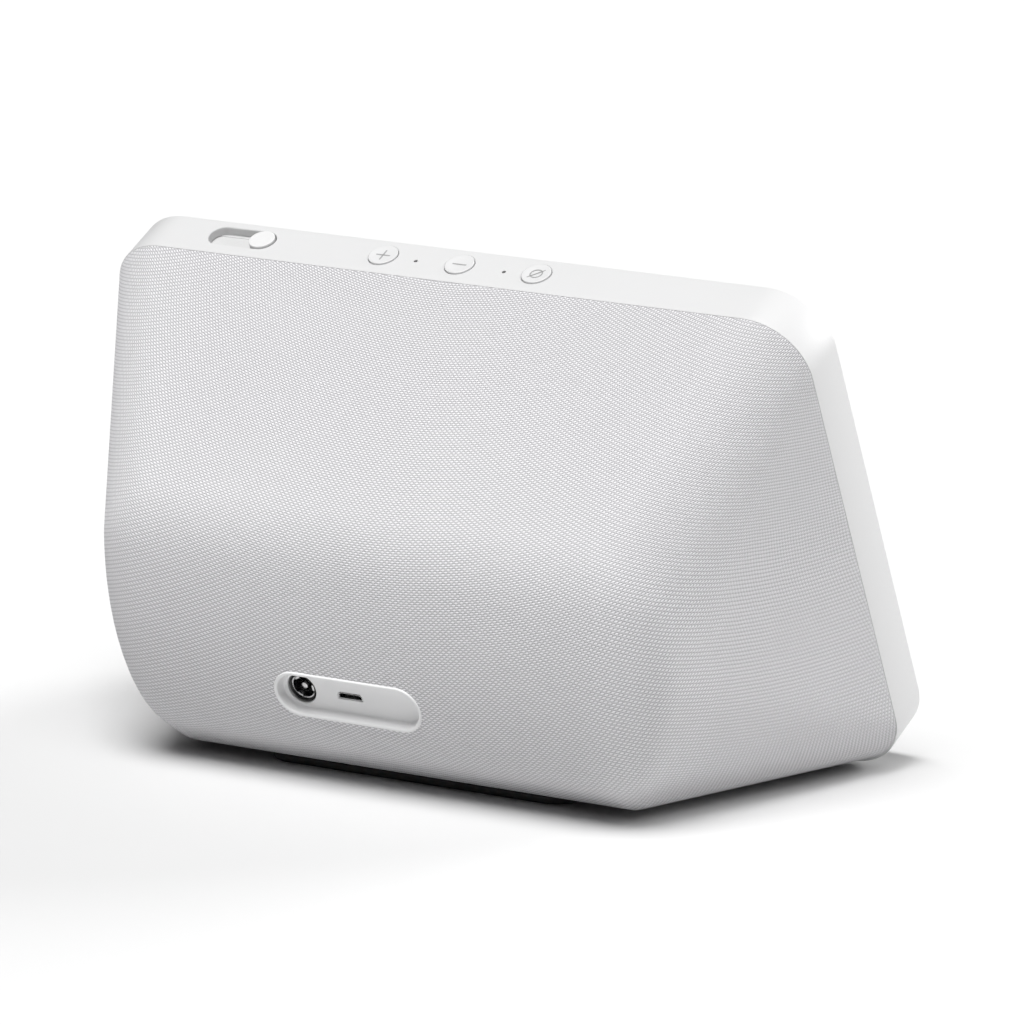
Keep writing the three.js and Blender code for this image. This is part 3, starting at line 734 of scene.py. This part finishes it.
def symbol(name, x, top, body):
    """A thin printed mark, flat, set at a depth in the cap's dish."""
    def bar(length, width, turn):
        piece = box_bm(-length / 2, length / 2, -width / 2, width / 2, -0.03, 0.03)
        piece.transform(Matrix.Rotation(math.radians(turn), 4, "Z"))
        return piece

    floor = top - 0.17
    if name == "plus":
        mark = merge(bar(4.0, 0.4, 0), bar(4.0, 0.4, 90))
    elif name == "minus":
        mark = bar(4.0, 0.4, 0)
    else:
        circle = turned([(1.4, -0.03), (1.72, -0.03), (1.72, 0.03), (1.4, 0.03), (1.4, -0.03)], 0, 0, 48, "Z")
        mark = merge(circle, bar(5.0, 0.32, 45))
        floor = top - 0.13
    mark.transform(Matrix.Translation((x, TOP_LINE, floor)))
    make(f"mark_{name}", mark, HEAD, MAT["print"], body)


def build_slider():
    top = FRONT_HEIGHT + KNOB_PROUD
    r = KNOB_D / 2
    profile = [(0, top - 0.04), (r - 0.8, top - 0.03)] + fillet((r - 0.2, top), (r, top - 0.2), (r, top), 5)
    seat, stem = FRONT_HEIGHT - WALL - 0.06, 2.6
    profile += [(r, seat), (stem, seat), (stem, CARRIER_TOP - 0.6), (0, CARRIER_TOP - 0.6)]
    knob = turned(profile, KNOB_X, 0, 72, "Z", TOP_LINE)
    parts = [
        box_bm(KNOB_X - CARRIER_HALF, KNOB_X + CARRIER_HALF, 3.65, 9.4, CARRIER_TOP - 1.2, CARRIER_TOP, 0.05),
        box_bm(*SHUTTER, 3.9, 4.9, SHUTTER_ARM, CARRIER_TOP - 0.6, 0.1),
        box_bm(*SHUTTER, 2.2, 4.9, SHUTTER_ARM, SHUTTER_TOP, 0.1),
        box_bm(*SHUTTER, 2.2, 2.8, 118.5, SHUTTER_TOP, 0.1),
    ]
    obj = make("camera_slider", knob, HEAD, MAT["knob"], "shutter")
    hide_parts("shutter_slider")
    make("camera_slider_carrier", merge(*parts), HEAD, MAT["carrier"], "shutter")


# ------------------------------------------------------------------ ports

def port_shape(inset):
    return outline(PORT_WIDTH - 2 * inset, PORT_HEIGHT - 2 * inset, 20, 0, 0, 24)


def build_ports():
    floor_y = -PORT_SUNK
    rim = 0.9
    profile = [(0, -6.2), (0, -0.1)] + fillet((0, -0.1), (0.25, 0.15), (0, 0.15), 4)[1:]
    profile += fillet((rim - 0.5, 0.15), (rim, -0.35), (rim, 0.15), 5)
    profile += fillet((rim + 0.3, floor_y + 0.4), (rim + 0.75, floor_y), (rim + 0.35, floor_y), 5)
    bm = ring(profile, port_shape, False, (True, True))
    obj = make("port_recess", bm, PORTS, MAT["port"])
    r = JACK_D / 2
    bore = [(0, -5.9), (r, -5.9), (r, floor_y - 0.2), (r + 0.2, floor_y + 0.01), (r + 0.2, 2), (0, 2)]
    jack = turned(bore, JACK_X, 0, 72)
    usb = ring([(0, -5.9), (0, floor_y - 0.15), (-0.15, floor_y + 0.01), (-0.15, 2)],
               lambda i: usb_shape(0.35 - i), False, (True, True))
    hollow = ring([(0, -9), (0, floor_y - 1.6)], lambda i: port_shape(PORT_SKIRT), False, (True, True))
    carve(obj, [tool_object(t, PORTS) for t in (jack, usb, hollow)])
    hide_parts("port_bezel")
    build_jack(floor_y)
    build_usb(floor_y)


def build_jack(floor_y):
    r = JACK_D / 2 - GAP
    face = floor_y - 0.4
    profile = [(0, -13), (3.35, -13), (3.35, face - 0.2), (3.55, face)]
    profile += [(r - 0.2, face), (r, face - 0.2), (r, -5.6), (4.5, -5.6), (4.5, -14.2), (0, -14.2)]
    bm = turned(profile, JACK_X, 0, 64)
    obj = make("power_jack", bm, PORTS, MAT["black"])
    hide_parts("dc_jack")
    tip = [(0, -12.8), (1.0, -12.8), (1.0, face - 1.5)]
    tip += [(0.85, face - 1.1), (0.5, face - 0.9), (0, face - 0.86)]
    pin = make("power_jack_pin", turned(tip, JACK_X, 0, 32), PORTS, MAT["plated"])
    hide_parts("dc_pin")
    sleeve = [(3.05, -12), (3.32, -12), (3.32, face - 0.7), (3.05, face - 0.75), (3.05, -12)]
    blades = turned(sleeve, JACK_X, 0, 48)
    for turn in (30, 150, 270):
        blade = box_bm(-0.8, 0.8, -12, face - 0.5, 2.5, 3.1, 0.1)
        blade.transform(Matrix.Translation((JACK_X, 0, 0)) @ Matrix.Rotation(math.radians(turn), 4, "Y"))
        merge(blades, blade)
    make("power_jack_contacts", blades, PORTS, MAT["plated"])


def usb_shape(grow):
    """The D shape of the socket's mouth: wide at the bottom, drawn in at the upper corners."""
    w, h = 3.3 + grow, 0.65 + grow
    corners = [(-w, -h), (-w, h * 0.15), (-w + 0.75, h), (w - 0.75, h), (w, h * 0.15), (w, -h)]
    points = []
    for k, p in enumerate(corners):
        before, after = Vector(corners[k - 1]), Vector(corners[(k + 1) % len(corners)])
        p = Vector(p)
        a, b = p + (before - p).normalized() * 0.3, p + (after - p).normalized() * 0.3
        for i in range(5):
            t = i / 4
            x, z = a * (1 - t) ** 2 + p * 2 * t * (1 - t) + b * t * t
            points.append((x + USB_X, z + USB_Z))
    return points


def build_usb(floor_y):
    face = floor_y - 0.1
    profile = [(0.25, -14), (0.25, face - 0.08), (0.17, face), (0.08, face)]
    profile += [(0, face - 0.1), (0, -13), (-0.6, -13)]
    bm = ring(profile, usb_shape, False, (True, True))
    obj = make("usb_mouth", bm, PORTS, MAT["plated"])
    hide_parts("usb_socket")
    tongue = box_bm(USB_X - 1.85, USB_X + 1.85, -13.5, face - 0.9, USB_Z - 0.5, USB_Z + 0.05, 0.08)
    make("usb_tongue", tongue, PORTS, MAT["black"])


# ------------------------------------------------------------------ foot

def build_foot():
    low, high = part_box("rubber_foot")
    width, depth = (high[0] - low[0]) / MM, (high[1] - low[1]) / MM
    middle = (high[1] + low[1]) / 2 / MM
    top = high[2] / MM
    bm = bmesh.new()
    loops = []
    profile = [(0.8, 0.0), (0.62, 0.03), (0.5, 0.14), (0.12, top - 0.25), (0.15, top - 0.1), (0.3, top)]
    for inset, z in profile:
        flat = outline(width - 2 * inset, depth - 2 * inset, 8 - inset, 0, middle, 12)
        loops.append([(x, y, z) for x, y in flat])
    skin_loops(bm, loops, False, (True, True))
    obj = make("foot_pad", bm, Matrix.Identity(4), MAT["foot"])
    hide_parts("rubber_foot")


# ------------------------------------------------------------------ stage

LIGHT_SPREAD = math.radians(35)
FLOOR_HALF = 60                  # metres, so that its edge stays out of low views


def sun(name, height, turn, power):
    """A broad soft light from a height above level and a turn from +Y towards +X, in degrees."""
    height, turn = math.radians(height), math.radians(turn)
    data = bpy.data.lights.new(name, "SUN")
    data.angle = LIGHT_SPREAD
    data.energy = power
    obj = bpy.data.objects.new(name, data)
    way = Vector((math.sin(turn) * math.cos(height), math.cos(turn) * math.cos(height), math.sin(height)))
    obj.location = way
    obj.rotation_euler = (-way).to_track_quat("-Z", "Y").to_euler()
    bpy.context.scene.collection.objects.link(obj)


def build_stage():
    bm = bmesh.new()
    bmesh.ops.create_grid(bm, x_segments=1, y_segments=1, size=FLOOR_HALF)
    mesh = bpy.data.meshes.new("floor")
    bm.to_mesh(mesh)
    bm.free()
    floor = bpy.data.objects.new("floor", mesh)
    bpy.context.scene.collection.objects.link(floor)
    n = Nodes("floor_paper", Roughness=0.9, Specular_IOR_Level=0.1)
    n.into("Base Color", grey(0.66))
    mesh.materials.append(n.material)

    world = bpy.context.scene.world or bpy.data.worlds.new("studio")
    bpy.context.scene.world = world
    world.use_nodes = True
    world.node_tree.nodes["Background"].inputs["Color"].default_value = (1, 1, 1, 1)
    world.node_tree.nodes["Background"].inputs["Strength"].default_value = 0.02

    sun("above_behind", 70, 0, 3.5)
    sun("behind_right", 60, -45, 0.8)
    sun("right_low", 8, -125, 0.3)
    sun("front_right_low", 20, -150, 2.4)


def build_camera():
    azimuth, elevation, distance = math.radians(211.0), math.radians(13.58), 2.0
    aim = Vector((0.0077, -0.0309, 0.0558))
    level = math.cos(elevation)
    toward = Vector((math.sin(azimuth) * level, -math.cos(azimuth) * level, math.sin(elevation)))
    data = bpy.data.cameras.new("camera")
    data.sensor_width = 36
    data.lens = 277.0
    data.clip_end = 50
    obj = bpy.data.objects.new("camera", data)
    obj.location = aim + toward * distance
    obj.rotation_euler = (-toward).to_track_quat("-Z", "Y").to_euler()
    bpy.context.scene.collection.objects.link(obj)
    bpy.context.scene.camera = obj
    bpy.context.scene.view_settings.view_transform = "Standard"


build_camera()
build_stage()
finish_cad_nodes()
build_fabric()
build_frame()
build_glass()
build_keys()
build_slider()
build_ports()
build_foot()
